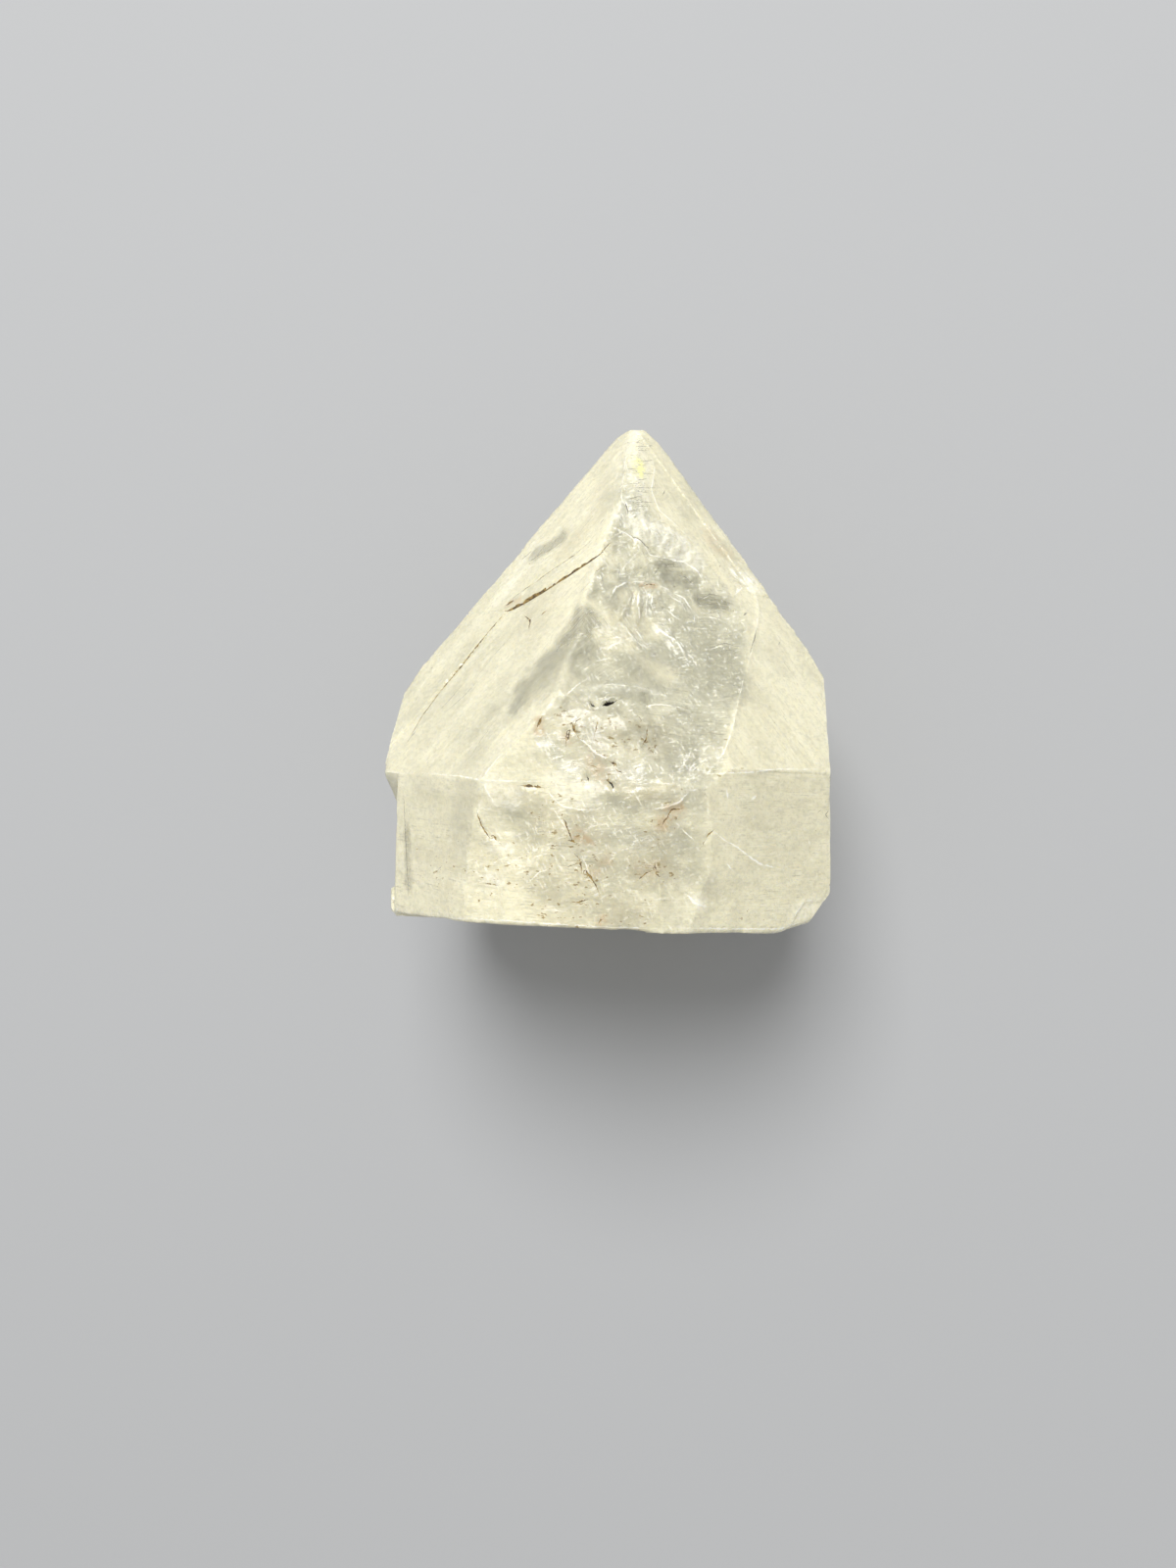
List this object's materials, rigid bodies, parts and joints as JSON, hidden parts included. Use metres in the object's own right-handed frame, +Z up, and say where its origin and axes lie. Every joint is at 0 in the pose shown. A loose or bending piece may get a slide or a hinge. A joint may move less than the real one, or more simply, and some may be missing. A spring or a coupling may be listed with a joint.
{
  "type": "apophyllite crystal pyramid",
  "caption": "Natural crystal point: a steep four-sided pyramid with a blunted tip on a short eight-sided stem, broken flat at its base, lying on one wall.",
  "frame": {"origin": "below the middle of the crystal's box, at the level of the wall that it lies on", "axes": "+X to the right of the picture, +Y along the crystal from its broken base to its tip, +Z up from the wall that it lies on"},
  "size_m": [0.048, 0.0578, 0.047],
  "materials": {
    "crystal": "milky, see-through in places, with a soft gloss"
  },
  "bodies": {
    "root": {"crystal": "crystal"}
  },
  "joints": []
}
